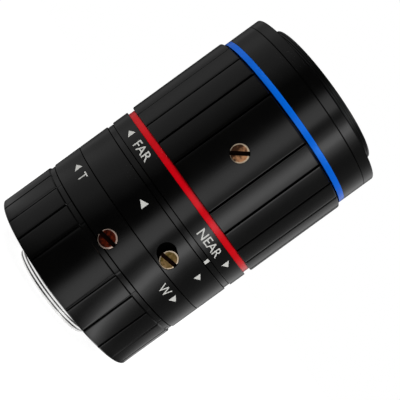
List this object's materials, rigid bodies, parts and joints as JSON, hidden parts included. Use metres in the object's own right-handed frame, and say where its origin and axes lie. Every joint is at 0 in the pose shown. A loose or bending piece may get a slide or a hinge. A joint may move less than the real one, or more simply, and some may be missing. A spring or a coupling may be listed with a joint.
{
  "type": "c-mount machine vision lens",
  "caption": "Manual varifocal lens with a screw mount; grip rings for focus, iris and zoom turn on its barrel, each with a slotted brass lock screw, and red and blue ring stripes.",
  "frame": {"origin": "centre of the flange plane, where the lens seats on a camera", "axes": "+Z along the lens axis towards the front; the marks on the rings face -Y; the threaded end is at -Z"},
  "size_m": [0.0505, 0.0506, 0.0848],
  "materials": {
    "black_anodised": "black anodised, satin",
    "bright_metal": "bright turned, chemically plated",
    "red_anodised": "red anodised, satin",
    "blue_anodised": "blue anodised, satin",
    "brass_part": "turned, part tarnished",
    "steel_pin": "ground",
    "black_steel": "black oxide",
    "blade_steel": "blued, dull",
    "lens_glass": "coated, clear"
  },
  "bodies": {
    "main_body": {"c_mount_barrel": "bright_metal", "rear_plate": "black_anodised", "rear_plate_screws": "black_steel", "main_barrel": "black_anodised", "iris_ring_retainer": "black_anodised", "focus_ring_retainer": "black_anodised", "iris_base_plate": "black_anodised", "iris_retaining_ring": "black_anodised"},
    "zoom_ring_body": {"zoom_ring": "black_anodised"},
    "rear_group": {"rear_cell": "black_anodised", "rear_cam_pins": "steel_pin", "lens_4_biconvex": "lens_glass", "lens_5_biconvex": "lens_glass", "lens_6_biconcave": "lens_glass", "rear_spacer": "black_anodised", "rear_cell_ring": "black_anodised"},
    "iris_ring_body": {"iris_ring": "black_anodised", "iris_drive_pin": "steel_pin", "iris_drive_ring": "brass_part"},
    "blade_1": {"iris_blade_1": "blade_steel"},
    "blade_2": {"iris_blade_2": "blade_steel"},
    "blade_3": {"iris_blade_3": "blade_steel"},
    "blade_4": {"iris_blade_4": "blade_steel"},
    "blade_5": {"iris_blade_5": "blade_steel"},
    "blade_6": {"iris_blade_6": "blade_steel"},
    "focus_ring_body": {"focus_sleeve": "black_anodised", "red_ring": "red_anodised", "focus_grip": "black_anodised"},
    "front_group": {"front_barrel": "black_anodised", "blue_ring": "blue_anodised", "front_bezel": "black_anodised", "front_guide_pins": "steel_pin", "lens_1_meniscus": "lens_glass", "lens_2_biconcave": "lens_glass", "lens_3_meniscus": "lens_glass", "front_spacer": "black_anodised"},
    "zoom_lock_body": {"zoom_lock_screw": "brass_part"},
    "iris_lock_body": {"iris_lock_screw": "brass_part"},
    "focus_lock_body": {"focus_lock_screw": "brass_part"}
  },
  "joints": [
    {"name": "zoom_ring_turn", "type": "hinge", "parent": "main_body", "child": "zoom_ring_body", "pos_m": [0, 0, 0], "axis": [0, 0, 1], "range_deg": [-35.2, 35.2]},
    {"name": "rear_group_slide", "type": "slide", "parent": "main_body", "child": "rear_group", "axis": [0, 0, 1], "range_m": [-0.003, 0.003]},
    {"name": "iris_ring_turn", "type": "hinge", "parent": "main_body", "child": "iris_ring_body", "pos_m": [0, 0, 0], "axis": [0, 0, 1], "range_deg": [-16, 24]},
    {"name": "blade_1_pivot", "type": "hinge", "parent": "main_body", "child": "blade_1", "pos_m": [0.0164, 0, 0.02635], "axis": [0, 0, 1], "range_deg": [-11.85, 17.75]},
    {"name": "blade_2_pivot", "type": "hinge", "parent": "main_body", "child": "blade_2", "pos_m": [0.0082, 0.0142, 0.02635], "axis": [0, 0, 1], "range_deg": [-11.85, 17.75]},
    {"name": "blade_3_pivot", "type": "hinge", "parent": "main_body", "child": "blade_3", "pos_m": [-0.0082, 0.0142, 0.02635], "axis": [0, 0, 1], "range_deg": [-11.85, 17.75]},
    {"name": "blade_4_pivot", "type": "hinge", "parent": "main_body", "child": "blade_4", "pos_m": [-0.0164, 0, 0.02635], "axis": [0, 0, 1], "range_deg": [-11.85, 17.75]},
    {"name": "blade_5_pivot", "type": "hinge", "parent": "main_body", "child": "blade_5", "pos_m": [-0.0082, -0.0142, 0.02635], "axis": [0, 0, 1], "range_deg": [-11.85, 17.75]},
    {"name": "blade_6_pivot", "type": "hinge", "parent": "main_body", "child": "blade_6", "pos_m": [0.0082, -0.0142, 0.02635], "axis": [0, 0, 1], "range_deg": [-11.85, 17.75]},
    {"name": "focus_ring_turn", "type": "hinge", "parent": "main_body", "child": "focus_ring_body", "pos_m": [0, 0, 0], "axis": [0, 0, 1], "range_deg": [-0.2, 120.3]},
    {"name": "front_group_slide", "type": "slide", "parent": "main_body", "child": "front_group", "axis": [0, 0, 1], "range_m": [0, 0.003]},
    {"name": "zoom_lock_turn", "type": "hinge", "parent": "zoom_ring_body", "child": "zoom_lock_body", "pos_m": [-0.00153, -0.02195, 0.01805], "axis": [-0.0698, -0.9976, 0], "range_deg": [-216, 180]},
    {"name": "iris_lock_turn", "type": "hinge", "parent": "iris_ring_body", "child": "iris_lock_body", "pos_m": [0.00916, -0.02, 0.02635], "axis": [0.4163, -0.9092, 0], "range_deg": [-216, 180]},
    {"name": "focus_lock_turn", "type": "hinge", "parent": "focus_ring_body", "child": "focus_lock_body", "pos_m": [0.00015, -0.022, 0.05373], "axis": [0.007, -1, 0], "range_deg": [-216, 180]}
  ],
  "couplings": [
    {"joint": "zoom_ring_turn", "follows": "rear_group_slide", "rad_per_m": -203.62},
    {"joint": "blade_1_pivot", "follows": "iris_ring_turn", "ratio": 0.7375},
    {"joint": "blade_2_pivot", "follows": "iris_ring_turn", "ratio": 0.7375},
    {"joint": "blade_3_pivot", "follows": "iris_ring_turn", "ratio": 0.7375},
    {"joint": "blade_4_pivot", "follows": "iris_ring_turn", "ratio": 0.7375},
    {"joint": "blade_5_pivot", "follows": "iris_ring_turn", "ratio": 0.7375},
    {"joint": "blade_6_pivot", "follows": "iris_ring_turn", "ratio": 0.7375},
    {"joint": "focus_ring_turn", "follows": "front_group_slide", "rad_per_m": 698.13}
  ]
}
